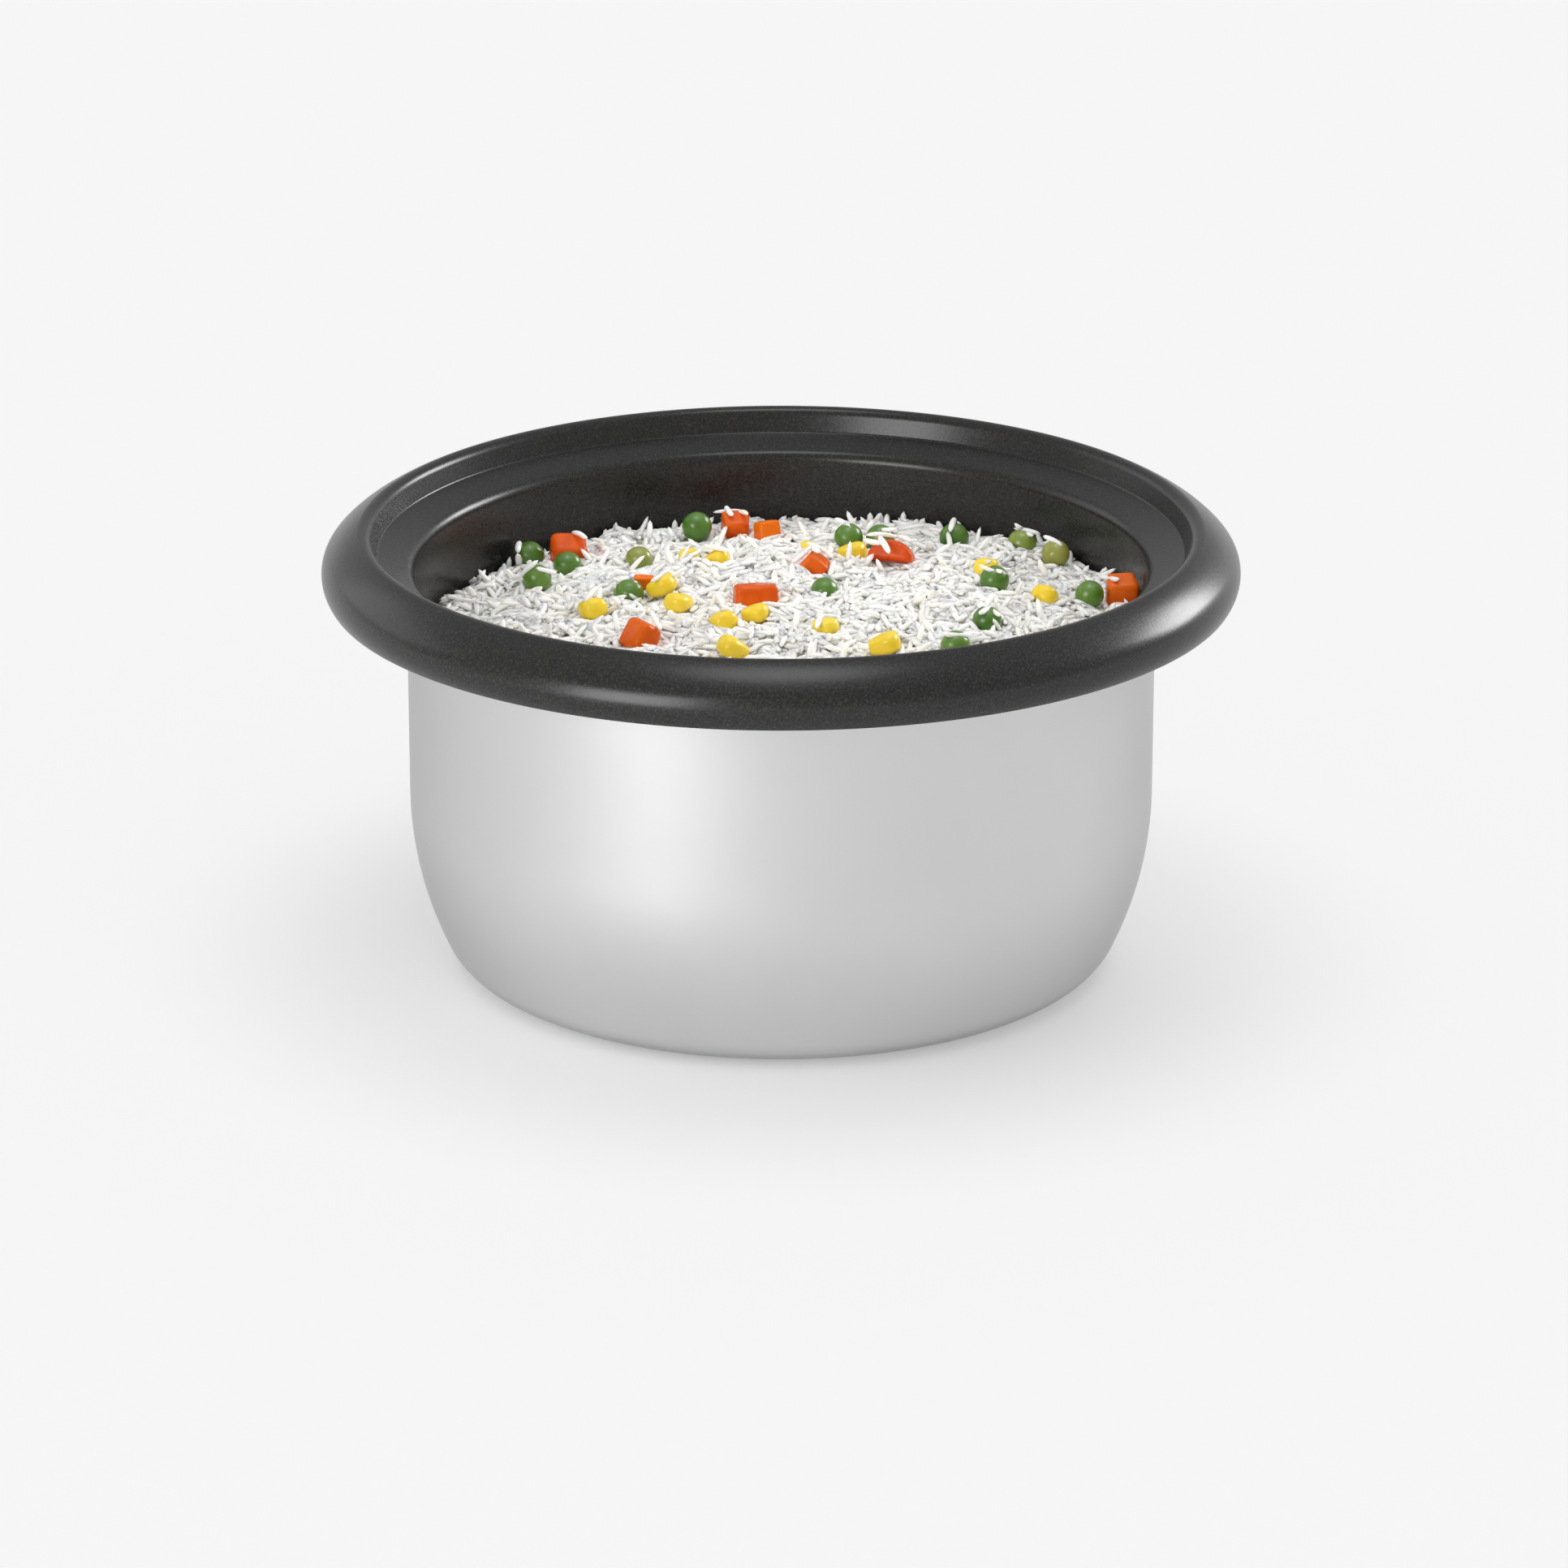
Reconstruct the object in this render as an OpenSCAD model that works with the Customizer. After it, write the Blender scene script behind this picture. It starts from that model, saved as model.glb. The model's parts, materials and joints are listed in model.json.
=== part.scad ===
// Inner cooking pot of a rice cooker, filled with cooked rice and mixed vegetables.
// One drawn aluminium sheet with a stepped lid seat and a broad rolled rim, a non-stick coating on its
// cooking side, and the food in it. Millimetres. Origin at the centre of the flat base, +Z up, -Y to the front.

/* [Pot] */
// Height from the flat base to the top of the rim
pot_h = 123; // [112:1:148]
// Outer radius of the straight wall
wall_r = 102; // [96:1:123]
// Thickness of the aluminium sheet
sheet_t = 2; // [1.5:0.1:2.4]
// Thickness of the non-stick coating
coat_t = 0.3; // [0.2:0.05:0.4]

/* [Base] */
// Height at which the wall begins to curve inwards
flank_z = 49; // [44:1:58]
// Radius of the long curve of the flank
flank_r = 96; // [80:1:116]
// Radius of the tight curve around the flat base
corner_r = 14; // [8:0.5:18]

/* [Rim] */
// How far the widest part of the rim stands out from the wall
rim_reach = 23; // [21:0.5:28]
// How far the crest of the rim stands out from the wall
crest_reach = 12; // [10:0.5:14]
// How far the outer edge of the lid seat stands out from the wall
seat_reach = 8; // [6:0.5:9.5]
// Bend radius where the wall turns out into the lid seat
shoulder_bend = 3; // [2.5:0.5:5]
// Bend radius at the foot of the riser behind the lid seat
cove_bend = 1.2; // [0.8:0.1:1.5]
// Bend radius over the crest
crest_bend = 2.6; // [2.5:0.1:3]
// Bend radius of the rolled outer edge
roll_bend = 7.9; // [6:0.1:9]
// Slope of the lid seat, in degrees
seat_a = 20; // [5:1:26]
// Slope of the riser between lid seat and crest, in degrees
riser_a = 72; // [60:1:76]
// Slope at which the crest passes into the broad outer face, in degrees
brow_a = 25; // [15:1:30]
// Slope at which the broad outer face passes into the rolled edge, in degrees
edge_a = 48; // [40:1:55]
// How far the rolled edge turns under past the vertical, in degrees
hem_a = 35; // [20:1:60]

/* [Rice] */
// Depth of the crown of the rice below the top of the rim
rice_drop = 20.5; // [16:0.5:40]
// Height of the crown above the edge of the rice
heap_rise = 8; // [2:0.5:12]
// Sideways shift of the crown towards +X
heap_lean = 18; // [0:2:40]
// Clearance between the rice and the coating
rice_gap = 0.3; // [0.2:0.1:1]

/* [Vegetables] */
// Usual diameter of a pea
pea_d = 8.2; // [6.5:0.1:9]
// Length of a sweetcorn kernel
kernel_l = 8.6; // [7:0.1:10]
// Thickness of a half-round slice of carrot
slice_t = 6.5; // [5:0.5:8]
// Clearance between a vegetable and its seat in the rice
seat_gap = 0.1; // [0.05:0.05:0.3]

/* [Hidden] */
$fn = 96;
turned_fn = 180;
heap_fn = 256;
arc_step = 6;

// Places are percentages of the radius of the rice, because the food spreads with the pot.
// Peas: x %, y %, share of the usual diameter, height of the centre above the rice in mm
PEAS = [
    [-71, 62, 1.02, 1.6], [-60, 48, 1, 0.4], [-68, 32, 0.98, 1.8], [-24, 76, 1.05, 2.4],
    [-40, 52, 0.96, -1], [-42, 14, 1, -0.4], [19, 58, 1.02, 1.4], [28, 59, 1, 1],
    [49, 66, 1.02, 0.6], [68, 59, 1.02, 1.6], [77, 46, 0.98, 2.2], [59, 16, 1, 1.4],
    [12, 11, 0.98, -1.8], [56, -20, 1.02, 1.2], [47, -39, 1, 1], [85, 8, 0.98, 1.8],
    [-64, -50, 1, 0.6], [-33, -60, 1.02, 0.4], [10, -66, 0.98, 0.2], [70, -56, 1, 0.5]
];
// Diced carrot: x %, y %, [length, width, height] in mm, turn, tilt, height of the centre above the rice
CARROTS = [
    [-60, 60, [10, 9, 9], 10, 25, 1.8], [-13, 80, [8, 8, 8], 5, 25, 1], [-4, 74, [7, 6, 6], 25, -15, 0.6],
    [9, 32, [8, 7, 7], 80, 40, -0.6], [94, 13, [9, 8, 8], 8, 20, 2.6], [-7, 3, [12, 8, 7], 10, -12, -0.2],
    [-38, -28, [9, 8.5, 8], -53, 60, 1.2], [-38, 21, [6, 3, 4], 5, 6, 0.4],
    [-12, -82, [10, 8, 8], 35, 12, 0.2], [36, -64, [9, 8, 8], -15, 10, 0.3],
    [-52, -68, [11, 8, 7], 60, -12, 0.2]
];
// Half-round carrot slices: x %, y %, diameter in mm, turn, tilt, height of the centre above the rice
SLICES = [[31, 40, 13, -15, 65, 2]];
// Sweetcorn: x %, y %, share of the usual length, turn, lean from upright, height above the rice
KERNELS = [
    [-52, -1, 1.05, 35, 75, 1], [-33, 15, 1.02, 70, 60, 0.8], [-28, -2, 0.98, -40, 80, 0.8],
    [-26, 45, 0.82, 10, 50, 0.2], [-18, 42, 0.9, 80, 65, 0], [-16, -20, 1.04, 30, 70, 0.7],
    [8, 52, 0.8, -20, 60, -0.6], [-7, -13, 0.9, 75, 75, 0.3], [-13, -40, 1.04, -65, 60, 0.8],
    [28, -39, 1.04, 80, 70, 0.9], [73, 7, 1, -30, 60, 0.5], [20, 45, 0.98, 65, 75, 0.2],
    [57, 32, 0.98, 5, 70, 0.3], [12, -23, 0.9, 50, 85, -0.4],
    [-78, -28, 1, 15, 70, 0.3], [22, -84, 0.98, -50, 65, 0.2], [-33, -80, 1.02, 35, 75, 0.2],
    [54, -70, 1, -10, 60, 0.3], [88, -28, 0.98, 60, 70, 0.2]
];

// Radii and heights of the pot
wall_ri = wall_r - sheet_t;
crest_r = wall_r + crest_reach;
seat_r = wall_r + seat_reach;
rim_r = wall_r + rim_reach;

// Flank and base corner: two arcs that meet where both slope at flank_a
flank_c = [wall_r - flank_r, flank_z];
flank_a = asin((flank_z - corner_r) / (flank_r - corner_r));
base_r = flank_c[0] + (flank_r - corner_r) * cos(flank_a);
corner_c = [base_r, corner_r];

// Rim: a path that runs from the wall, over lid seat, riser and crest, to the hem.
// run(a) heads along the path, and face(a) points out of its visible side, where the path slopes at a.
function run(a) = [cos(a), sin(a)];
function face(a) = [-sin(a), cos(a)];
crest_c = [crest_r, pot_h - coat_t - crest_bend];
brow_reach = rim_r - coat_t - crest_r - crest_bend * sin(brow_a);
slope_bend = (brow_reach - roll_bend * (1 - sin(edge_a))) / (sin(edge_a) - sin(brow_a));
slope_c = crest_c + (crest_bend - slope_bend) * face(-brow_a);
roll_c = slope_c + (slope_bend - roll_bend) * face(-edge_a);
riser_top = crest_c + crest_bend * face(riser_a);
seat_edge = [seat_r, riser_top[1] - (riser_top[0] - seat_r) * tan(riser_a)];
cove_reach = cove_bend * tan((riser_a - seat_a) / 2);
cove_in = seat_edge - cove_reach * run(seat_a);
cove_out = seat_edge + cove_reach * run(riser_a);
cove_c = cove_in + cove_bend * face(seat_a);
seat_in_r = wall_ri + shoulder_bend * (1 - sin(seat_a));
seat_in = [seat_in_r, cove_in[1] - (cove_in[0] - seat_in_r) * tan(seat_a)];
shoulder_c = seat_in - shoulder_bend * face(seat_a);
wall_top = shoulder_c[1];

// Rice: a heap with a spherical top
rice_r = wall_ri - coat_t - rice_gap;
heap_r = (rice_r * rice_r + heap_rise * heap_rise) / (2 * heap_rise);
crown_z = pot_h - rice_drop;
function rice_z(x, y) = crown_z - heap_r + sqrt(heap_r * heap_r - pow(x - heap_lean, 2) - y * y);
function on_rice(x, y, up) = let (px = x * rice_r / 100, py = y * rice_r / 100) [px, py, rice_z(px, py) + up];

function label(kind, i) = str(kind, i < 9 ? "_0" : "_", i + 1);
function labels(kind, list) = [for (i = [0:len(list) - 1]) label(kind, i)];

// Points along an arc around c, at the angles from a1 to a2, one every few degrees
function arc(c, r, a1, a2) =
    let (n = ceil(abs(a2 - a1) / arc_step)) [for (i = [0:n]) c + r * run(a1 + (a2 - a1) * i / n)];

// Line at depth d behind the metal's visible face, from the flat base up to the top of the wall
function bowl_line(d) = concat(
    arc(corner_c, corner_r - sheet_t + d, -90, -flank_a),
    arc(flank_c, flank_r - sheet_t + d, -flank_a, 0)
);

// Line at depth d from the wall over lid seat, riser and crest to the hem. Bends over an edge lose the depth
// from their radius, and the bend into the corner at the foot of the riser gains it.
function rim_line(d) = concat(
    arc(shoulder_c, shoulder_bend - d, 180, 90 + seat_a),
    arc(cove_c, cove_bend + d, seat_a - 90, riser_a - 90),
    arc(crest_c, crest_bend - d, 90 + riser_a, 90 - brow_a),
    arc(slope_c, slope_bend - d, 90 - brow_a, 90 - edge_a),
    arc(roll_c, roll_bend - d, 90 - edge_a, -hem_a)
);

function pot_line(d) = concat([[0, sheet_t - d]], bowl_line(d), rim_line(d));
function reversed(list) = [for (i = [len(list) - 1:-1:0]) list[i]];

// Cross-section of a layer of the pot between depths d1 and d2 behind the metal's visible face
module layer(d1, d2) polygon(concat(pot_line(d1), reversed(pot_line(d2))));

// Half cross-section of the space inside the pot, at a depth of d, up to the top of the wall
module hollow(d) polygon(concat([[0, sheet_t - d]], bowl_line(d), [[wall_ri + d, wall_top], [0, wall_top]]));

module pot_shell() color("silver") rotate_extrude($fn = turned_fn) layer(0, sheet_t);

module nonstick_coating() color("dimgray") rotate_extrude($fn = turned_fn) layer(-coat_t, 0);

// Each vegetable is drawn grown by its clearance as well, to leave its seat in the rice
module pea(i, grow = 0) {
    p = PEAS[i];
    color("olivedrab") translate(on_rice(p[0], p[1], p[3])) sphere(d = pea_d * p[2] + 2 * grow, $fn = 48);
}

module carrot(i, grow = 0) {
    c = CARROTS[i];
    size = c[2] + 2 * grow * [1, 1, 1];
    color("orangered") translate(on_rice(c[0], c[1], c[5])) rotate([c[4], 0, c[3]])
        intersection() {
            cube(size, center = true);
            sphere(d = norm(size) * 0.88, $fn = 48);
        }
}

module carrot_slice(i, grow = 0) {
    s = SLICES[i];
    r = s[2] / 2;
    color("orangered") translate(on_rice(s[0], s[1], s[5])) rotate([s[4], 0, s[3]])
        intersection() {
            translate([0, -r / 2, 0]) cylinder(r = r + grow, h = slice_t + 2 * grow, center = true);
            translate([0, r / 2, 0]) cube([2 * r + 2 * grow, 2 * r + 2 * grow, 2 * slice_t], center = true);
        }
}

module corn(i, grow = 0) {
    k = KERNELS[i];
    l = kernel_l * k[2] + 2 * grow;
    color("gold") translate(on_rice(k[0], k[1], k[5])) rotate([k[4], 0, k[3]])
        intersection() {
            cylinder(d1 = l * 0.55, d2 = l * 0.92, h = l, center = true);
            cube([l, l * 0.62, l], center = true);
            translate([0, 0, -l * 0.08]) sphere(d = l * 1.14, $fn = 48);
        }
}

module rice_bed() color("ivory") difference() {
    intersection() {
        rotate_extrude($fn = turned_fn) hollow(-coat_t - rice_gap);
        translate([heap_lean, 0, crown_z - heap_r]) sphere(heap_r, $fn = heap_fn);
    }
    for (i = [0:len(PEAS) - 1]) pea(i, seat_gap);
    for (i = [0:len(CARROTS) - 1]) carrot(i, seat_gap);
    for (i = [0:len(SLICES) - 1]) carrot_slice(i, seat_gap);
    for (i = [0:len(KERNELS) - 1]) corn(i, seat_gap);
}

pot_shell();
nonstick_coating();
rice_bed();
for (i = [0:len(PEAS) - 1]) pea(i);
for (i = [0:len(CARROTS) - 1]) carrot(i);
for (i = [0:len(SLICES) - 1]) carrot_slice(i);
for (i = [0:len(KERNELS) - 1]) corn(i);
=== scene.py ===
"""Inner pot of a rice cooker, full of rice and vegetables: its looks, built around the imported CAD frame."""

import json

import bpy
import numpy as np
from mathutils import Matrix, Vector


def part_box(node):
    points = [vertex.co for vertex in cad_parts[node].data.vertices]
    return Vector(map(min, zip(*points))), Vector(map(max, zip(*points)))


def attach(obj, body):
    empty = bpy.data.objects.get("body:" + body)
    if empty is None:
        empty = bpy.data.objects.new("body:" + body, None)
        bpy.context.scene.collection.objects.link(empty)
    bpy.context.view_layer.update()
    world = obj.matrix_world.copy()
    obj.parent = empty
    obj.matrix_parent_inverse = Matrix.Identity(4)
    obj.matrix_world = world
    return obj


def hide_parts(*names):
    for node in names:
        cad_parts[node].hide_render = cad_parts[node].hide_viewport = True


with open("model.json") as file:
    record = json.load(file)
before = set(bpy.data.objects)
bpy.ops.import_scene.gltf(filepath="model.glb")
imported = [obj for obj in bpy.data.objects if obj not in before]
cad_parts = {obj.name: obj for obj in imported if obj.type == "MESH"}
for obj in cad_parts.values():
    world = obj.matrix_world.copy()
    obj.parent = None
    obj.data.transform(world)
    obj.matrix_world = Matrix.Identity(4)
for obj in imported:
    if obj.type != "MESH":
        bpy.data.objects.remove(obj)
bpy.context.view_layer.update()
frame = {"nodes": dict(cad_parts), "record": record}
MM = 0.001

# ---- Pot shell ----------------------------------------------------------------------------------
# One round blank of aluminium sheet, deep drawn into the pot, stepped for the lid and rolled over at
# the rim, which is open underneath. The outside is spun to a fine satin.

coating_low, coating_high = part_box("nonstick_coating")
shell_low, shell_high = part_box("pot_shell")
pot_h = coating_high.z
coat_t = coating_high.z - shell_high.z
sheet_t = coating_low.z - shell_low.z
rim_r = coating_high.x
wall_r = next(m for m in frame["record"]["mounts"] if m["name"] == "well_body")["dims"]["r_mm"] * MM
flank_z = 49 * MM
flank_r = 96 * MM
corner_r = 14 * MM
crest_r = wall_r + 12 * MM
seat_r = wall_r + 8 * MM
shoulder_bend = 3 * MM
cove_bend = 1.2 * MM
crest_bend = 2.6 * MM
roll_bend = 7.9 * MM
seat_a, riser_a, brow_a, edge_a, hem_a = 20, 72, 25, 48, 35
arc_step = 3
stretch_step = 5 * MM
turns = 288


def run(a):
    """Unit vector (cos a, sin a), with a in degrees."""
    return np.array([np.cos(np.radians(a)), np.sin(np.radians(a))])


def face(a):
    """Unit vector a quarter turn to the left of run(a)."""
    return run(a + 90)


def arc(c, r, a1, a2):
    """Points c + r (cos a, sin a), with a from a1 to a2 degrees in even steps."""
    a = np.radians(np.linspace(a1, a2, int(np.ceil(abs(a2 - a1) / arc_step)) + 1))
    return np.array(c) + r * np.stack([np.cos(a), np.sin(a)], -1)


# The centres of the bends, each on the normal at which it meets the bend before it.
wall_ri = wall_r - sheet_t
flank_a = np.degrees(np.arcsin((flank_z - corner_r) / (flank_r - corner_r)))
flank_c = np.array([wall_r - flank_r, flank_z])
corner_c = np.array([flank_c[0] + (flank_r - corner_r) * run(flank_a)[0], corner_r])
crest_c = np.array([crest_r, pot_h - coat_t - crest_bend])
brow_reach = rim_r - coat_t - crest_r - crest_bend * run(brow_a)[1]
slope_bend = (brow_reach - roll_bend * (1 - run(edge_a)[1])) / (run(edge_a)[1] - run(brow_a)[1])
slope_c = crest_c + (crest_bend - slope_bend) * face(-brow_a)
roll_c = slope_c + (slope_bend - roll_bend) * face(-edge_a)
riser_top = crest_c + crest_bend * face(riser_a)
seat_edge = np.array([seat_r, riser_top[1] - (riser_top[0] - seat_r) * np.tan(np.radians(riser_a))])
cove_in = seat_edge - cove_bend * np.tan(np.radians(riser_a - seat_a) / 2) * run(seat_a)
cove_c = cove_in + cove_bend * face(seat_a)
seat_in_r = wall_ri + shoulder_bend * (1 - run(seat_a)[1])
seat_in = np.array([seat_in_r, cove_in[1] - (cove_in[0] - seat_in_r) * np.tan(np.radians(seat_a))])
shoulder_c = seat_in - shoulder_bend * face(seat_a)


def stretched(line):
    """The line with points added until no stretch is longer than stretch_step. Doubled points go."""
    steps = np.ceil(np.linalg.norm(np.diff(line, axis=0), axis=1).round(9) / stretch_step).astype(int)
    parts = [p + np.outer(np.arange(n) / n, q - p) for p, q, n in zip(line[:-1], line[1:], steps)]
    return np.vstack(parts + [line[-1:]])


def bowl_line(d):
    """(r, z) at depth d behind the metal's inner face: corner arc, then flank arc, up to the wall."""
    return np.vstack([arc(corner_c, corner_r - sheet_t + d, -90, -flank_a),
                      arc(flank_c, flank_r - sheet_t + d, -flank_a, 0)])


def pot_line(d):
    """(r, z) at depth d from the axis over base, flank, wall, lid seat, crest and brow to the hem."""
    rim = np.vstack([arc(shoulder_c, shoulder_bend - d, 180, 90 + seat_a),
                     arc(cove_c, cove_bend + d, seat_a - 90, riser_a - 90),
                     arc(crest_c, crest_bend - d, 90 + riser_a, 90 - brow_a),
                     arc(slope_c, slope_bend - d, 90 - brow_a, 90 - edge_a),
                     arc(roll_c, roll_bend - d, 90 - edge_a, -hem_a)])
    return stretched(np.vstack([[[0, sheet_t - d]], bowl_line(d), rim]))


def piece(name, co, faces):
    """Object from points co (n, 3) and a list of face arrays, one array for each number of corners. If the
    six-fold volume, the sum of a . (b x c) over the faces' triangles, is negative, all faces are turned."""
    fans = np.vstack([f[:, [0, i, i + 1]] for f in faces for i in range(1, f.shape[1] - 1)])
    a, b, c = co[fans[:, 0]], co[fans[:, 1]], co[fans[:, 2]]
    if np.einsum("ij,ij->", a, np.cross(b, c)) < 0:
        faces = [f[:, ::-1] for f in faces]
    mesh = bpy.data.meshes.new(name)
    mesh.from_pydata(co.tolist(), [], [f for group in faces for f in group.tolist()])
    mesh.polygons.foreach_set("use_smooth", np.ones(len(mesh.polygons), bool))
    obj = bpy.data.objects.new(name, mesh)
    bpy.context.scene.collection.objects.link(obj)
    return obj


def skin(rows):
    """Points and faces of a closed skin from rows (m, n, 3) that run round it. The first and last row are
    poles, each a point taken from the row's mean, and row i joins row i + 1 by quads."""
    m, n = rows.shape[:2]
    co = np.vstack([rows[0].mean(0)[None], rows[1:-1].reshape(-1, 3), rows[-1].mean(0)[None]])
    j = np.arange(n)
    k = (j + 1) % n
    i = 1 + n * np.arange(m - 3)[:, None]
    quads = np.stack([i + j, i + k, i + n + k, i + n + j], -1).reshape(-1, 4)
    last = len(co) - 1
    foot = 1 + n * (m - 3)
    caps = np.vstack([np.stack([0 * j, 1 + k, 1 + j], -1), np.stack([0 * j + last, foot + j, foot + k], -1)])
    return co, [quads, caps]


def turned(line, n):
    """Rows of points (r cos t, r sin t, z) for each (r, z) of the line, with t in n even steps all round."""
    t = np.linspace(0, 2 * np.pi, n, endpoint=False)
    r, z = line.T
    return np.stack([np.outer(r, np.cos(t)), np.outer(r, np.sin(t)), np.outer(z, np.ones(n))], -1)


class Wire:
    """A node's output in a material. Operators add Math nodes, and node() adds any other node."""

    def __init__(self, socket):
        self.socket = socket

    def node(self, kind, settings=None, inputs=None, out=0):
        """New node with its settings, then its inputs, by name or number, as values or wires."""
        tree = self.socket.id_data
        made = tree.nodes.new(kind)
        for key, value in (settings or {}).items():
            if key == "stops":
                ramp = made.color_ramp.elements
                while len(ramp) < len(value):
                    ramp.new(0.5)
                for element, (at, colour) in zip(ramp, value):
                    element.position = at
                    element.color = (*colour, 1)
            else:
                setattr(made, key, value)
        for key, value in (inputs or {}).items():
            if isinstance(value, Wire):
                tree.links.new(value.socket, made.inputs[key])
            else:
                made.inputs[key].default_value = value
        return Wire(made.outputs[out])

    def math(self, operation, a, b=0.0):
        return self.node("ShaderNodeMath", {"operation": operation}, {0: a, 1: b})

    def __add__(self, other):
        return self.math("ADD", self, other)

    def __sub__(self, other):
        return self.math("SUBTRACT", self, other)

    def __rsub__(self, other):
        return self.math("SUBTRACT", other, self)

    def __mul__(self, other):
        return self.math("MULTIPLY", self, other)

    def __pow__(self, other):
        return self.math("POWER", self, other)

    __radd__ = __add__
    __rmul__ = __mul__

    def mix(self, dark, light):
        """Colour from dark, where this wire is 0, to light, where it is 1."""
        return self.node("ShaderNodeMix", {"data_type": "RGBA"}, {0: self, 6: dark, 7: light}, out=2)

    def noise(self, scale, detail=2.0, roughness=0.5):
        """Cloudy noise, 0 to 1, at this wire's place, with scale features to the metre."""
        return self.node("ShaderNodeTexNoise", {}, {"Vector": self, "Scale": scale, "Detail": detail,
                                                     "Roughness": roughness})

    def bump(self, strength, depth):
        """Normal of a surface that this wire raises by depth."""
        return self.node("ShaderNodeBump", {}, {"Height": self, "Strength": strength, "Distance": depth})


def finish(name, settle):
    """Material of one Principled shader. settle(place) gets a wire of the Object coordinates, and returns the
    shader's inputs by name, as values or wires."""
    material = bpy.data.materials.new(name)
    material.use_nodes = True
    nodes = material.node_tree.nodes
    shader = next(n for n in nodes if n.type == "BSDF_PRINCIPLED")
    place = Wire(nodes.new("ShaderNodeTexCoord").outputs["Object"])
    for key, value in settle(place).items():
        if isinstance(value, Wire):
            material.node_tree.links.new(value.socket, shader.inputs[key])
        else:
            shader.inputs[key].default_value = value
    return material


def satin_aluminium(place):
    """Rings left by spinning: noise along height minus radius, so they run round the wall and the base."""
    flat = place.node("ShaderNodeVectorMath", {"operation": "MULTIPLY"}, {0: place, 1: (1, 1, 0)})
    radius = flat.node("ShaderNodeVectorMath", {"operation": "LENGTH"}, {0: flat}, out=1)
    height = place.node("ShaderNodeSeparateXYZ", {}, {0: place}, out=2)
    along = height - radius
    rings = place.node("ShaderNodeTexNoise", {"noise_dimensions": "1D"},
                       {"W": along, "Scale": 1400.0, "Detail": 4.0})
    cloud = place.noise(22.0, 3.0)
    return {
        "Base Color": cloud.mix((0.62, 0.62, 0.625, 1), (0.68, 0.68, 0.685, 1)),
        "Metallic": 1.0,
        "Specular Tint": (0.62, 0.62, 0.62, 1),
        "Roughness": cloud * 0.06 + rings * 0.04 + 0.36,
        "Normal": rings.bump(0.12, 0.02 * MM),
    }


metal_line = np.vstack([pot_line(0), pot_line(sheet_t)[::-1]])
pot_shell = piece("pot_shell_metal", *skin(turned(metal_line, turns)))
pot_shell.data.materials.append(finish("satin_aluminium", satin_aluminium))
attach(pot_shell, "pot")
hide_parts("pot_shell")

# ---- Non-stick coating --------------------------------------------------------------------------
# A charcoal coating with a fine metallic fleck, sprayed on the cooking side, over the lid seat and down
# the rim to its hem, and cured to a satin skin.


def charcoal_coating(place):
    """Dark grey with a fleck, and the faint orange peel of a sprayed coat."""
    fleck = place.noise(1800.0, 2.0)
    peel = place.noise(950.0, 2.0)
    cloud = place.noise(16.0, 3.0)
    return {
        "Base Color": (fleck ** 4).mix((0.007, 0.0065, 0.006, 1), (0.13, 0.127, 0.123, 1)),
        "Specular IOR Level": 0.42,
        "Roughness": cloud * 0.05 + fleck * 0.12 + 0.20,
        "Normal": peel.bump(0.3, 0.06 * MM),
    }


coat_line = np.vstack([pot_line(-coat_t), pot_line(0)[::-1]])
coating = piece("nonstick_skin", *skin(turned(coat_line, turns)))
coating.data.materials.append(finish("charcoal_coating", charcoal_coating))
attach(coating, "pot")
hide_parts("nonstick_coating")

# ---- Rice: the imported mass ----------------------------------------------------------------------
# Cooked rice fills the pot from the base up, heaped towards one side. Under the loose grains it is one
# soft mass that has taken the shape of the pot.

rice_gap = 0.3 * MM
rice_r = wall_ri - coat_t - rice_gap
heap_rise = 8 * MM
heap_lean = 18 * MM
heap_drop = 1.2 * MM
swell_rise = 2.4 * MM
clump_rise = 3.0 * MM
heap_r = (rice_r**2 + heap_rise**2) / (2 * heap_rise)
crown_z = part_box("rice_bed")[1].z
rng = np.random.default_rng(7)


def waves(count, low, high):
    """Random plane waves: directions and wave numbers for wavelengths from low to high, and phases."""
    turn = rng.uniform(0, 2 * np.pi, count)
    number = 2 * np.pi / rng.uniform(low, high, count)
    return np.stack([np.cos(turn) * number, np.sin(turn) * number], -1), rng.uniform(0, 2 * np.pi, count)


swells = waves(7, 38 * MM, 80 * MM)
clumps = waves(14, 11 * MM, 26 * MM)


def lumps(x, y, family):
    """Mean of the sines of the waves in a family at (x, y), about -0.6 to 0.6."""
    k, phase = family
    return np.sin(np.multiply.outer(x, k[:, 0]) + np.multiply.outer(y, k[:, 1]) + phase).mean(-1)


def heap_z(x, y):
    """Height of the rice: a sphere's cap leaning to +X, with swells and clumps added."""
    cap = crown_z - heap_drop - heap_r + np.sqrt(heap_r**2 - (x - heap_lean) ** 2 - y**2)
    return cap + swell_rise * lumps(x, y, swells) + clump_rise * lumps(x, y, clumps)


def steamed_rice(place):
    """Moist white, a little warmer and darker than the grains on it: painted shade where it shows between
    them.
    """
    grain = place.noise(420.0, 2.0)
    return {
        "Base Color": grain.mix((0.91, 0.87, 0.78, 1), (0.97, 0.95, 0.90, 1)),
        "Roughness": 0.5,
        "Normal": grain.bump(0.8, 0.8 * MM),
    }


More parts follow.
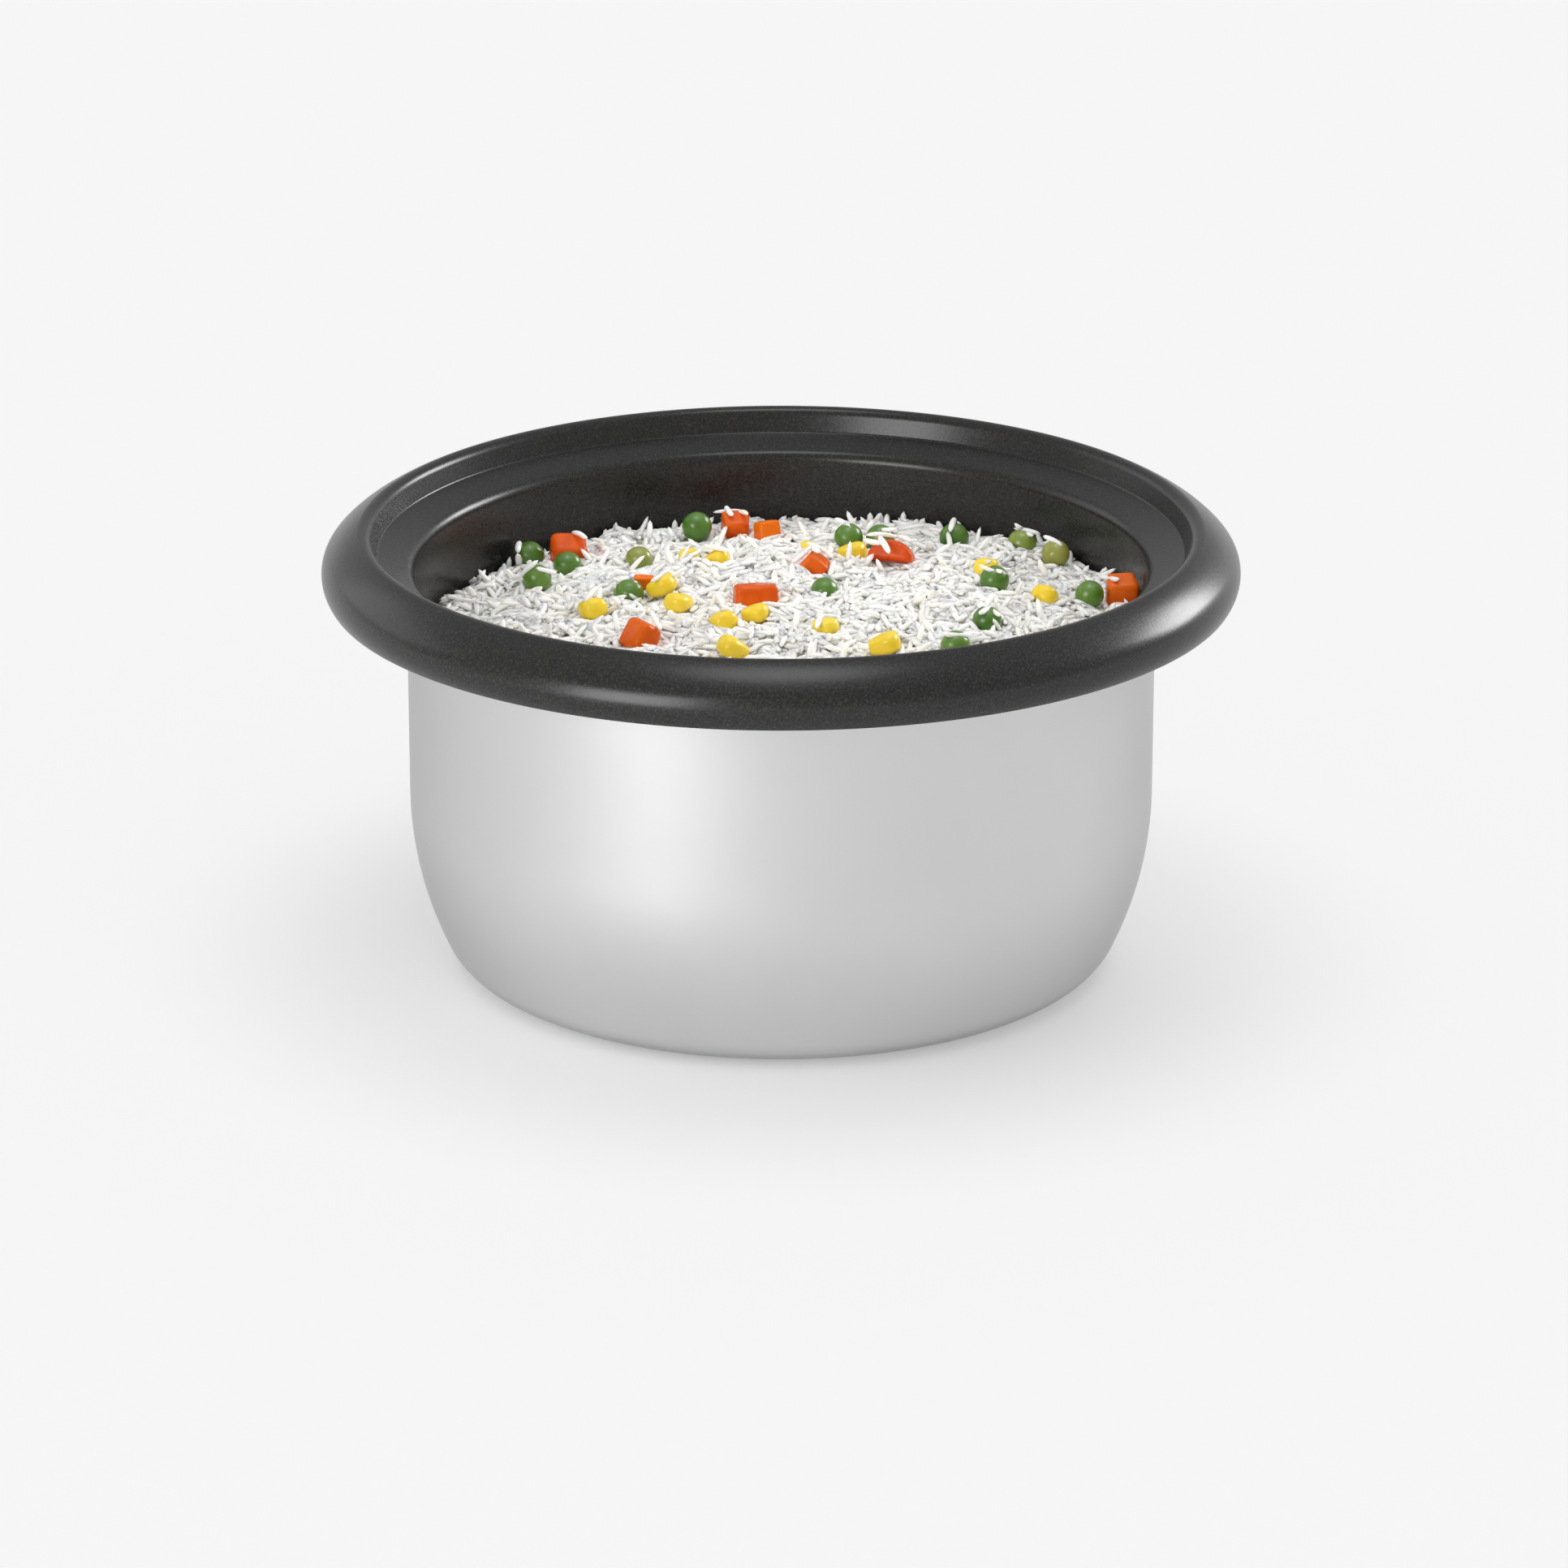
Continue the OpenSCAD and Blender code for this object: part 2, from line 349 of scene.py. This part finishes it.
mass_inset = 1.1 * MM
mass_sunk = 1.5 * MM
mass_turns = 200
mass_rings = 60
side_line = stretched(np.vstack([[[0, sheet_t + coat_t + mass_inset]], bowl_line(-coat_t - mass_inset)]))
side_rows = turned(side_line, mass_turns)
top_share = np.linspace(1, 0, mass_rings)[:, None]
edge_r = rice_r - mass_inset
edge_t = np.linspace(0, 2 * np.pi, mass_turns, endpoint=False)
top_x = top_share * edge_r * np.cos(edge_t)
top_y = top_share * edge_r * np.sin(edge_t)
top_rows = np.stack([top_x, top_y, heap_z(top_x, top_y) - mass_sunk], -1)
mass = piece("rice_mass", *skin(np.vstack([side_rows, top_rows])))
mass.data.materials.append(finish("steamed_rice", steamed_rice))
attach(mass, "food")
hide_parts("rice_bed")

# ---- Rice: the grains ---------------------------------------------------------------------------
# Long-grain rice, each grain a slim curved spindle. They lie loosely on the heap, some with a tip in the
# air, and pressed flat against the pot on the sides and the base.

GRAIN_RINGS = 5
GRAIN_SIDES = 6
GRAIN_FLATNESS = 0.8


def skin_faces(m, n):
    """Number of points, and faces, of a skin of m rows of n points."""
    co, faces = skin(np.zeros((m, n, 3)))
    return len(co), faces


def grain_group(name, centre, along, up, length, width, bow, shade):
    """One object of many grains. A point of a grain, for u from -1 to 1 and v all round, is the centre, plus
    along times u length / 2, plus up times bow (1 - u^2) length, plus width / 2 times sqrt(1 - |u|^2.6) round
    the axis, a little flatter along up."""
    side = np.cross(up, along)
    u = np.linspace(-1, 1, GRAIN_RINGS + 2)[1:-1]
    u = np.sign(u) * np.abs(u) ** 0.7
    v = np.linspace(0, 2 * np.pi, GRAIN_SIDES, endpoint=False)
    swell = np.sqrt(1 - np.abs(u) ** 2.6)
    uu = np.concatenate([[-1], np.repeat(u, GRAIN_SIDES), [1]])
    round_side = np.concatenate([[0], np.outer(swell, np.cos(v)).ravel(), [0]])
    round_up = np.concatenate([[0], np.outer(swell, np.sin(v)).ravel(), [0]])
    co = (centre[:, None] + along[:, None] * (uu[:, None] * length[:, None, None] / 2)
          + up[:, None] * ((1 - uu**2)[:, None] * (bow * length)[:, None, None]
                           + round_up[:, None] * GRAIN_FLATNESS * width[:, None, None] / 2)
          + side[:, None] * (round_side[:, None] * width[:, None, None] / 2))
    dots, (quads, caps) = skin_faces(GRAIN_RINGS + 2, GRAIN_SIDES)
    first = dots * np.arange(len(centre))[:, None, None]
    obj = piece(name, co.reshape(-1, 3), [(quads + first).reshape(-1, 4), (caps + first).reshape(-1, 3)])
    tint = obj.data.attributes.new("shade", "FLOAT", "POINT")
    tint.data.foreach_set("value", np.repeat(shade, dots).astype(np.float32))
    obj.data.materials.append(grain_finish)
    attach(obj, "food")


def rice_grain(place):
    """White to ivory from grain to grain, with a moist gloss."""
    shade = place.node("ShaderNodeAttribute", {"attribute_name": "shade"}, {}, out=2)
    return {
        "Base Color": shade.mix((0.94, 0.90, 0.80, 1), (0.985, 0.965, 0.915, 1)),
        "Roughness": shade * 0.12 + 0.34,
        "Subsurface Weight": 0.9,
        "Subsurface Radius": (1.0, 0.95, 0.85),
        "Subsurface Scale": 2.2 * MM,
    }


grain_finish = finish("rice_grain", rice_grain)


def frames(normal, turn, pitch):
    """Unit vectors along and up for grains on a surface with these normals: turned in its plane by turn, then
    tipped out of it by pitch."""
    helper = np.where(np.abs(normal[:, 2:]) < 0.9, [[0.0, 0.0, 1.0]], [[1.0, 0.0, 0.0]])
    e1 = np.cross(helper, normal)
    e1 /= np.linalg.norm(e1, axis=1, keepdims=True)
    e2 = np.cross(normal, e1)
    flat = np.cos(turn)[:, None] * e1 + np.sin(turn)[:, None] * e2
    along = np.cos(pitch)[:, None] * flat + np.sin(pitch)[:, None] * normal
    return along, np.cos(pitch)[:, None] * normal - np.sin(pitch)[:, None] * flat


def heap_normals(x, y):
    """Unit normals of the heap at (x, y), from height differences a small step to each side."""
    small = 0.5 * MM
    slope_x = (heap_z(x + small, y) - heap_z(x - small, y)) / (2 * small)
    slope_y = (heap_z(x, y + small) - heap_z(x, y - small)) / (2 * small)
    way = np.stack([-slope_x, -slope_y, np.ones(len(x))], -1)
    return way / np.linalg.norm(way, axis=1, keepdims=True)


# Loose grains on top, even over the disc and in a few layers. A few of the uppermost stand proud, with a tip
# in the air. Neighbours drift the same way round.
top_count = 13500
top_groups = 5
layers_low = -1.9 * MM
layers_depth = 2.4 * MM
turn_spread, pitch_spread = 55, 12
proud_share = 0.05
proud_layer = 0.6
proud_pitch = 25, 60
proud_lift = 0.8 * MM
wall_clear = 0.9 * MM
grain_r = rice_r * np.sqrt(rng.uniform(0, 1, top_count))
grain_t = rng.uniform(0, 2 * np.pi, top_count)
x, y = grain_r * np.cos(grain_t), grain_r * np.sin(grain_t)
normal = heap_normals(x, y)
layer = rng.uniform(0, 1, top_count)
pitch = rng.normal(0, np.radians(pitch_spread), top_count)
proud = (rng.uniform(0, 1, top_count) < proud_share) & (layer > proud_layer)
pitch[proud] = np.radians(rng.uniform(*proud_pitch, proud.sum())) * rng.choice([-1, 1], proud.sum())
drift = 3.5 * (lumps(x, y, swells) + lumps(x, y, clumps))
along, up = frames(normal, drift + rng.normal(0, np.radians(turn_spread), top_count), pitch)
length = rng.normal(8.6, 1.1, top_count).clip(5.5, 11) * MM
width = rng.normal(1.8, 0.15, top_count).clip(1.4, 2.2) * MM
bow_side = rng.choice([-1, 1], top_count)[:, None]
lift = layers_low + layer * layers_depth + proud * proud_lift
centre = np.stack([x, y, heap_z(x, y)], -1) + normal * lift[:, None]

# A grain whose tip would reach the wall moves in.
reach = rice_r - wall_clear
for end in (-0.5, 0.5):
    tip = centre + along * (length * end)[:, None]
    tip_r = np.linalg.norm(tip[:, :2], axis=1)
    over = np.maximum(0, tip_r - reach) / tip_r
    centre[:, :2] -= tip[:, :2] * over[:, None]

# Grains that would cut through a vegetable go, but a few stray ones lie across its top.
clear_share = 0.78
stray_share = {"pea": 0.04, "carrot": 0.08, "corn": 0.04}
keep = np.ones(top_count, bool)
vegetables = sorted(n for n in frame["nodes"] if n.split("_")[0] in stray_share)
for node in vegetables:
    low, high = (np.array(corner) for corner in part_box(node))
    middle, half = (low + high) / 2, (high - low) / 2
    away = np.linalg.norm(centre[:, :2] - middle[:2], axis=1)
    inside = away < half[:2].mean() * clear_share
    stray = inside & (rng.uniform(0, 1, top_count) < stray_share[node.split("_")[0]])
    centre[stray, 2] = high[2] - 0.2 * MM - (away[stray] / half[0]) ** 2 * half[2] * 0.5
    keep &= ~inside | stray
    for share in (-0.4, 0.4):
        tip = centre + along * (length * share)[:, None]
        hit = np.linalg.norm((tip - middle) / (half * 0.95), axis=1) < 1
        keep &= ~hit | stray
shade = rng.uniform(0, 1, top_count)
bow = rng.uniform(0.02, 0.075, top_count)
for number, part in enumerate(np.array_split(np.flatnonzero(keep), top_groups), 1):
    grain_group(f"rice_top_grains_{number}", centre[part], along[part], up[part] * bow_side[part],
                length[part], width[part], bow[part], shade[part])

# Pressed grains at the sides and the base: even over the skin that faces the pot, each laid along it and sunk
# into the mass until it is clear of the coating.
side_count = 6600
side_groups = 3
skin_line = stretched(np.vstack([[[0, sheet_t + coat_t + rice_gap]], bowl_line(-coat_t - rice_gap),
                                 [[rice_r, crown_z]]]))
step = np.linalg.norm(np.diff(skin_line, axis=0), axis=1)
area = np.cumsum(np.concatenate([[0], step * (skin_line[1:, 0] + skin_line[:-1, 0]) / 2]))
pick = rng.uniform(0, area[-1], side_count)
r = np.interp(pick, area, skin_line[:, 0])
z = np.interp(pick, area, skin_line[:, 1])
slope = np.gradient(skin_line, axis=0)
slope /= np.linalg.norm(slope, axis=1, keepdims=True)
out_r = np.interp(pick, area, slope[:, 1])
out_z = -np.interp(pick, area, slope[:, 0])
t = rng.uniform(0, 2 * np.pi, side_count)
normal = np.stack([out_r * np.cos(t), out_r * np.sin(t), out_z], -1)
normal /= np.linalg.norm(normal, axis=1, keepdims=True)
along, up = frames(normal, rng.uniform(0, 2 * np.pi, side_count), rng.normal(0, np.radians(3), side_count))
length = rng.normal(8.0, 1.0, side_count).clip(5.5, 10) * MM
width = rng.normal(2.1, 0.16, side_count).clip(1.7, 2.5) * MM
sunk = width * 0.42 + rng.uniform(0.27, 0.65, side_count) * MM
centre = np.stack([r * np.cos(t), r * np.sin(t), z], -1) - normal * sunk[:, None]
keep = centre[:, 2] < heap_z(centre[:, 0], centre[:, 1]) - 0.5 * MM
shade = rng.uniform(0, 1, side_count)
for number, part in enumerate(np.array_split(np.flatnonzero(keep), side_groups), 1):
    grain_group(f"rice_side_grains_{number}", centre[part], along[part], up[part], length[part], width[part],
                rng.uniform(-0.01, 0.012, len(part)), shade[part])

# ---- Peas ---------------------------------------------------------------------------------------
# Whole cooked peas: soft round seeds in a thin glossy skin, a little wrinkled, with a shallow dimple.

BALL_ROWS = 26
BALL_TURNS = 36


def ball():
    """Rows of unit vectors (sin p cos t, sin p sin t, cos p), for p from pole to pole and t all round."""
    p = np.linspace(0, np.pi, BALL_ROWS)[:, None]
    t = np.linspace(0, 2 * np.pi, BALL_TURNS, endpoint=False)
    return np.stack([np.sin(p) * np.cos(t), np.sin(p) * np.sin(t), np.cos(p) * np.ones_like(t)], -1)


def unit(v):
    """The vector at length 1."""
    return v / np.linalg.norm(v)


def pea_skin(middle, radius):
    """Sphere whose radius falls by a bell-shaped dimple at one side and by shallow random creases."""
    way = ball()
    dimple = unit(rng.normal(size=3))
    shape = 1 - 0.05 * np.exp(-((np.arccos(np.clip(way @ dimple, -1, 1)) / 0.35) ** 2))
    for _ in range(7):
        crease = unit(rng.normal(size=3))
        side = unit(np.cross(crease, rng.normal(size=3)))
        off = way @ crease - rng.uniform(-0.7, 0.7) - 0.12 * np.sin(way @ side * rng.uniform(2, 5))
        shape = shape - 0.018 * np.exp(-((off / 0.07) ** 2)) * (0.5 + 0.5 * np.tanh(3 * (way @ side)))
    squash = 1 - 0.03 * (way @ unit(rng.normal(size=3))) ** 2
    return middle + radius * way * (shape * squash)[..., None]


def pea_finish(place):
    """Fresh green, yellower in soft patches, with a moist skin."""
    tone = place.node("ShaderNodeAttribute", {"attribute_name": "tone"}, {}, out=2)
    patch = place.noise(240.0, 2.0)
    fine = place.noise(1500.0, 2.0)
    ripe = place.node("ShaderNodeClamp", {}, {0: tone + (patch - 0.5) * 0.5})
    greens = [(0.0, (0.055, 0.150, 0.012)), (0.45, (0.115, 0.23, 0.022)), (1.0, (0.28, 0.28, 0.05))]
    return {
        "Base Color": place.node("ShaderNodeValToRGB", {"stops": greens}, {0: ripe}),
        "Roughness": patch * 0.15 + 0.25,
        "Subsurface Weight": 0.1,
        "Subsurface Radius": (0.4, 1.0, 0.2),
        "Subsurface Scale": 1.0 * MM,
        "Coat Weight": 0.2,
        "Normal": fine.bump(0.25, 0.1 * MM),
    }


def vegetable(name, node, shape, material, tone):
    """Puts one vegetable, as (points, faces), in place of its CAD node, with its own tone for the colour."""
    obj = piece(name, *shape)
    values = obj.data.attributes.new("tone", "FLOAT", "POINT")
    values.data.foreach_set("value", np.full(len(obj.data.vertices), tone, np.float32))
    obj.data.materials.append(material)
    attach(obj, "food")
    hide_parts(node)


pea_material = finish("pea_skin", pea_finish)
OLIVE_PEAS = {"pea_05": 0.85, "pea_10": 0.7, "pea_11": 0.95, "pea_17": 0.8}
for node in (n for n in vegetables if n.startswith("pea")):
    low, high = (np.array(corner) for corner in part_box(node))
    tone = OLIVE_PEAS.get(node, rng.uniform(0.05, 0.45))
    shape = skin(pea_skin((low + high) / 2, (high[0] - low[0]) / 2))
    vegetable(f"{node}_skin", node, shape, pea_material, tone)

# ---- Carrot -------------------------------------------------------------------------------------
# Carrot cut by hand into dice and one half-round slice: firm cut faces, softened corners, wet.

DICE_STEPS = 9


def cut_axes(node):
    """The vegetable's own axes as the rows of a matrix: the two largest square-on flat directions of its CAD
    solid and their cross product. Flat means that many triangles share one normal."""
    mesh = frame["nodes"][node].data
    area = np.array([p.area for p in mesh.polygons])
    way = np.array([p.normal[:] for p in mesh.polygons])
    keys, where = np.unique(np.round(way, 2), axis=0, return_inverse=True)
    total = np.bincount(where.ravel(), area)
    order = np.argsort(-total)
    first = unit(keys[order[0]])
    second = next(unit(keys[i]) for i in order if abs(keys[i] @ first) < 0.1)
    second = unit(second - (second @ first) * first)
    return np.array([first, second, np.cross(first, second)])


def node_points(node):
    """The CAD node's points, (n, 3)."""
    mesh = frame["nodes"][node].data
    co = np.zeros(len(mesh.vertices) * 3, np.float32)
    mesh.vertices.foreach_get("co", co)
    return co.reshape(-1, 3).astype(float)


def cube_skin(n):
    """Points of a cube from -1 to 1, n steps a side, and its quads, with shared corners merged."""
    s = np.linspace(-1, 1, n + 1)
    a, b = np.meshgrid(s, s, indexing="ij")
    one = np.ones_like(a)
    sides = ((a, b, one), (b, a, -one), (one, a, b), (-one, b, a), (b, one, a), (a, -one, b))
    i = np.arange(n)[:, None] * (n + 1) + np.arange(n)
    quad = np.stack([i, i + n + 1, i + n + 2, i + 1], -1).reshape(-1, 4)
    quads = np.vstack([quad + k * (n + 1) ** 2 for k in range(6)])
    dots = np.vstack([np.stack(side, -1).reshape(-1, 3) for side in sides])
    co, where = np.unique(np.round(dots, 6), axis=0, return_inverse=True)
    return co, where.ravel()[quads]


def rounded(co, half, bend):
    """Cube's skin to a box of these half sizes with corners rounded by bend: each point is pulled to bend
    away from the nearest point of the box's core."""
    core = half - bend
    near = np.clip(co * half, -core, core)
    away = co * half - near
    return near + bend * away / np.maximum(np.linalg.norm(away, axis=1, keepdims=True), 1e-9)


def carrot_finish(place):
    """Orange-red flesh with a paler grain that runs through each piece, and wet cut faces."""
    tone = place.node("ShaderNodeAttribute", {"attribute_name": "tone"}, {}, out=2)
    fibre = place.noise(900.0, 3.0, 0.6)
    patch = place.noise(190.0, 2.0)
    blend = place.node("ShaderNodeClamp", {}, {0: tone * 0.6 + patch * 0.5 + fibre * 0.25 - 0.2})
    return {
        "Base Color": blend.mix((0.56, 0.035, 0.003, 1), (0.82, 0.190, 0.003, 1)),
        "Specular IOR Level": 0.2,
        "Roughness": fibre * 0.2 + 0.2,
        "Subsurface Weight": 0.1,
        "Subsurface Radius": (1.0, 0.3, 0.1),
        "Subsurface Scale": 1.0 * MM,
        "Normal": fibre.bump(0.35, 0.15 * MM),
    }


carrot_material = finish("carrot_flesh", carrot_finish)
cube_co, cube_quads = cube_skin(DICE_STEPS)
for node in (n for n in vegetables if n.startswith("carrot")):
    axes = cut_axes(node)
    local = node_points(node) @ axes.T
    low, high = local.min(0), local.max(0)
    half = (high - low) / 2
    co = rounded(cube_co, half, rng.uniform(0.22, 0.5) * half.min())
    if "slice" in node:
        # The first axis points out of the flat cut. The depth below it follows a half circle.
        co[:, 0] = half[0] - (half[0] - co[:, 0]) * np.sqrt(1 - (0.97 * co[:, 2] / half[2]) ** 2)
    # Hand-cut: each side leans a little, and bellies or hollows a little.
    lean = rng.uniform(-0.09, 0.09, 3)
    share = co / half
    co = co * (1 + lean * share[:, [1, 2, 0]]) / (1 + np.abs(lean))
    co *= 1 - 0.025 * np.cos(share[:, [1, 2, 0]] * 2.6 + rng.uniform(0, 6, 3))
    shape = (co + (low + high) / 2) @ axes, [cube_quads]
    vegetable(f"{node}_cut", node, shape, carrot_material, rng.uniform(0.0, 1.0))

# ---- Sweetcorn ----------------------------------------------------------------------------------
# Kernels cut from the cob: a plump rounded crown that narrows to a pale torn tip.


KERNEL_ROWS = 20
KERNEL_TURNS = 28


def kernel_skin(length, width, thick):
    """Rows from tip to crown. At share s of the length the outline is a rounded rectangle that swells from
    0.52 of its width at the tip to all of it at 0.72 of the length, and closes over the crown."""
    s = np.linspace(0, 1, KERNEL_ROWS)[:, None]
    t = np.linspace(0, 2 * np.pi, KERNEL_TURNS, endpoint=False)
    flare = 0.52 + 0.48 * np.sin(np.clip(s / 0.72, 0, 1) * np.pi / 2)
    crown = np.sqrt(1 - np.clip((s - 0.62) / 0.38, 0, 1) ** 2.4)
    foot = np.clip(s / 0.06, 0, 1) ** 0.5
    swell = flare * crown * foot
    across, through = (np.sign(c) * np.abs(c) ** 0.72 for c in (np.cos(t), np.sin(t)))
    x = width / 2 * swell * across
    y = thick / 2 * swell**0.7 * through * (1 - 0.06 * np.cos(t * 2))
    z = length * (s - 0.5) * np.ones_like(t)
    return np.stack([x, y, z], -1)


def corn_finish(place):
    """Golden yellow to paler yellow from kernel to kernel and in patches, with a tight glossy skin."""
    tone = place.node("ShaderNodeAttribute", {"attribute_name": "tone"}, {}, out=2)
    patch = place.noise(260.0, 2.0)
    fine = place.noise(1300.0, 2.0)
    blend = place.node("ShaderNodeClamp", {}, {0: tone + patch * 0.5 - 0.25})
    return {
        "Base Color": blend.mix((0.84, 0.60, 0.022, 1), (0.86, 0.74, 0.13, 1)),
        "Specular IOR Level": 0.35,
        "Roughness": patch * 0.15 + 0.25,
        "Subsurface Weight": 0.15,
        "Subsurface Radius": (1.0, 0.8, 0.2),
        "Subsurface Scale": 1.0 * MM,
        "Coat Weight": 0.2,
        "Normal": fine.bump(0.2, 0.1 * MM),
    }


corn_material = finish("corn_skin", corn_finish)
for node in (n for n in vegetables if n.startswith("corn")):
    axes = cut_axes(node)
    local = node_points(node) @ axes.T
    low, high = local.min(0), local.max(0)
    # The first axis is across the thin way, the second along the kernel with the tip's cut end outwards.
    rows = kernel_skin(high[1] - low[1], high[2] - low[2], high[0] - low[0])
    rows = np.stack([rows[..., 1], -rows[..., 2], rows[..., 0]], -1) + (low + high) / 2
    vegetable(f"{node}_kernel", node, skin(rows @ axes), corn_material, rng.uniform(0.0, 0.4))

# ---- Floor, light and camera --------------------------------------------------------------------
# A pale seamless floor, a white room, large soft lamps, and a long lens a little above the pot.


def plain_floor(place):
    """White board on a lit table: a fifth of its brightness is its own."""
    return {"Base Color": (0.93, 0.93, 0.93, 1), "Roughness": 0.8, "Specular IOR Level": 0.1,
            "Emission Color": (1, 1, 1, 1), "Emission Strength": 0.2}


floor_half = 6.0
floor_corners = [(x * floor_half, y * floor_half, 0) for x, y in ((-1, -1), (1, -1), (1, 1), (-1, 1))]
floor_mesh = bpy.data.meshes.new("floor")
floor_mesh.from_pydata(floor_corners, [], [(0, 1, 2, 3)])
floor = bpy.data.objects.new("floor", floor_mesh)
bpy.context.scene.collection.objects.link(floor)
floor.data.materials.append(finish("pale_floor", plain_floor))


def aimed(obj, place, target):
    """Puts obj at place, looking at target."""
    obj.location = place
    obj.rotation_euler = (Vector(target) - Vector(place)).to_track_quat("-Z", "Y").to_euler()
    bpy.context.scene.collection.objects.link(obj)


lamp_far = 1.7


def softbox(name, azimuth, elevation, size, radiance):
    """Lamp of this size at an azimuth from the front, positive to the right, and an elevation, in degrees.
    Its power is radiance times pi times its area."""
    lamp = bpy.data.lights.new(name, "AREA")
    lamp.shape = "RECTANGLE"
    lamp.size, lamp.size_y = size
    lamp.energy = radiance * np.pi * size[0] * size[1]
    a, e = np.radians(azimuth), np.radians(elevation)
    place = lamp_far * np.array([np.sin(a) * np.cos(e), -np.cos(a) * np.cos(e), np.sin(e)])
    obj = bpy.data.objects.new(name, lamp)
    aimed(obj, place, (0, 0, 0.06))
    return obj


def overhead(name, spread, strength):
    """Far lamp straight above, whose light falls within a cone of this spread in degrees."""
    lamp = bpy.data.lights.new(name, "SUN")
    lamp.angle = np.radians(spread)
    lamp.energy = strength
    obj = bpy.data.objects.new(name, lamp)
    bpy.context.scene.collection.objects.link(obj)
    return obj


def keep_off(lamps, name, objects):
    """Light linking: these lamps don't light these objects."""
    unlit = bpy.data.collections.new(name)
    for obj in objects:
        unlit.objects.link(obj)
    for link in unlit.collection_objects:
        link.light_linking.link_state = "EXCLUDE"
    for lamp in lamps:
        lamp.light_linking.receiver_collection = unlit


keep_off([softbox("strip_front_left", -36, 14, (0.8, 1.1), 7),
          softbox("box_back_right", 123, 26, (0.7, 0.5), 14),
          softbox("box_back_left", -120, 26, (1.2, 0.7), 0.8),
          overhead("zenith", 24, 0.5)], "not_lit_by_accents", [floor])
keep_off([overhead("food_light", 70, 0.85)], "not_lit_by_food_light", [floor, pot_shell, coating])
washed = bpy.data.collections.new("lit_by_wash")
washed.objects.link(floor)
overhead("floor_wash", 56, 0.87).light_linking.receiver_collection = washed

world = bpy.data.worlds.new("white_room")
bpy.context.scene.world = world
world.use_nodes = True
# The room is whiter just above the horizon, as where a backdrop meets the floor.
sky_way = Wire(world.node_tree.nodes.new("ShaderNodeTexCoord").outputs["Object"])
sky_height = sky_way.node("ShaderNodeSeparateXYZ", {}, {0: sky_way}, out=2)
whites = [(0.07, (0.93, 0.93, 0.93)), (0.14, (0.5, 0.5, 0.5))]
sky_white = sky_height.node("ShaderNodeValToRGB", {"stops": whites}, {0: sky_height})
world.node_tree.links.new(sky_white.socket, world.node_tree.nodes["Background"].inputs["Color"])
bpy.context.scene.view_settings.view_transform = "Standard"

camera_data = bpy.data.cameras.new("camera")
camera_data.lens = 166.8
camera = bpy.data.objects.new("camera", camera_data)
camera_x = 0.8 * MM
camera_far = 2.0
camera_up = np.radians(19.55)
aim_z = pot_h - 74.5 * MM
camera_z = aim_z + camera_far * np.sin(camera_up)
aimed(camera, (camera_x, -camera_far * np.cos(camera_up), camera_z), (camera_x, 0, aim_z))
bpy.context.scene.camera = camera
